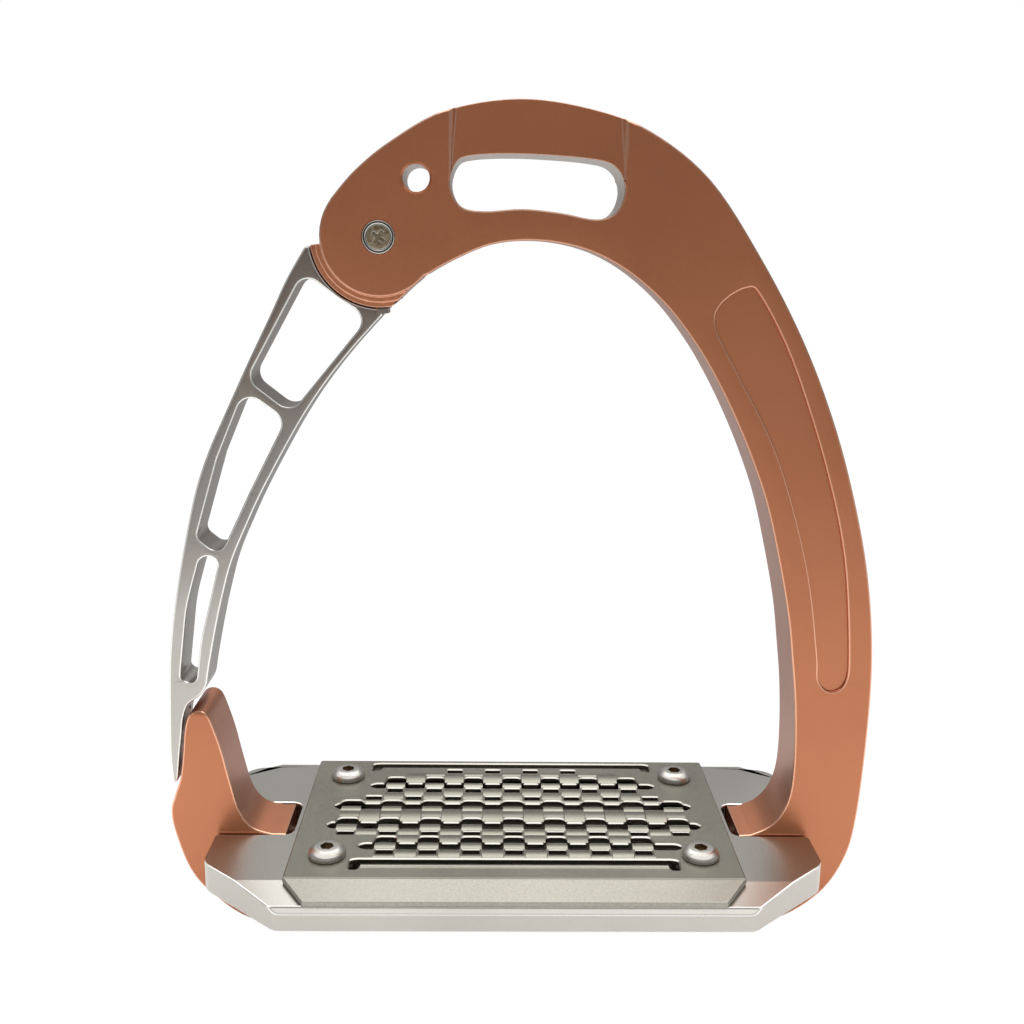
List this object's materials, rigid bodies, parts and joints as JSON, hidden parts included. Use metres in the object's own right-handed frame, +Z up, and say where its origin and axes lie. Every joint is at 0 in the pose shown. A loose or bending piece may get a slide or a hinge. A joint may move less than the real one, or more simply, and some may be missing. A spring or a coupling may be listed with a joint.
{
  "type": "stirrup iron",
  "caption": "Safety stirrup iron: a copper-coloured frame with a hinged silver release arm, a flat platform and a perforated grip plate.",
  "frame": {"origin": "middle of the flat underside of the belly, on the ground plane, midway through the frame's thickness", "axes": "+X across the tread towards the closed leg, +Y from the toe side through to the heel side, +Z up to the strap bar"},
  "size_m": [0.1446, 0.0593, 0.169],
  "materials": {
    "copper_anodised": "satin copper-coloured anodising with a fine bead-blasted grain",
    "silver_anodised": "satin silver, fine brushed grain",
    "stainless_plate": "satin stainless sheet, warm grey",
    "steel": "machined stainless",
    "screw_brass": "dull olive brass",
    "magnet": "nickel plated",
    "polymer": "dark bearing polymer"
  },
  "bodies": {
    "stirrup": {"frame": "copper_anodised", "pivot_sleeve": "steel", "pivot_screw": "screw_brass", "pivot_cup_washer": "steel", "pivot_nut": "steel", "front_thrust_washer": "polymer", "rear_thrust_washer": "polymer", "magnet_strike": "steel", "tread_frame": "silver_anodised", "tread_dowels": "steel", "tread_screws": "steel", "tread_spring_washers": "steel", "tread_screw_inserts": "steel", "grip_plate": "stainless_plate", "grip_plate_screws": "steel", "grip_screw_inserts": "steel"},
    "arm": {"release_arm": "silver_anodised", "arm_bush": "screw_brass", "arm_magnet": "magnet"}
  },
  "joints": [
    {"name": "arm_hinge", "type": "hinge", "parent": "stirrup", "child": "arm", "pos_m": [-0.0268, 0, 0.1441], "axis": [0, 1, 0], "range_deg": [0, 76]}
  ]
}
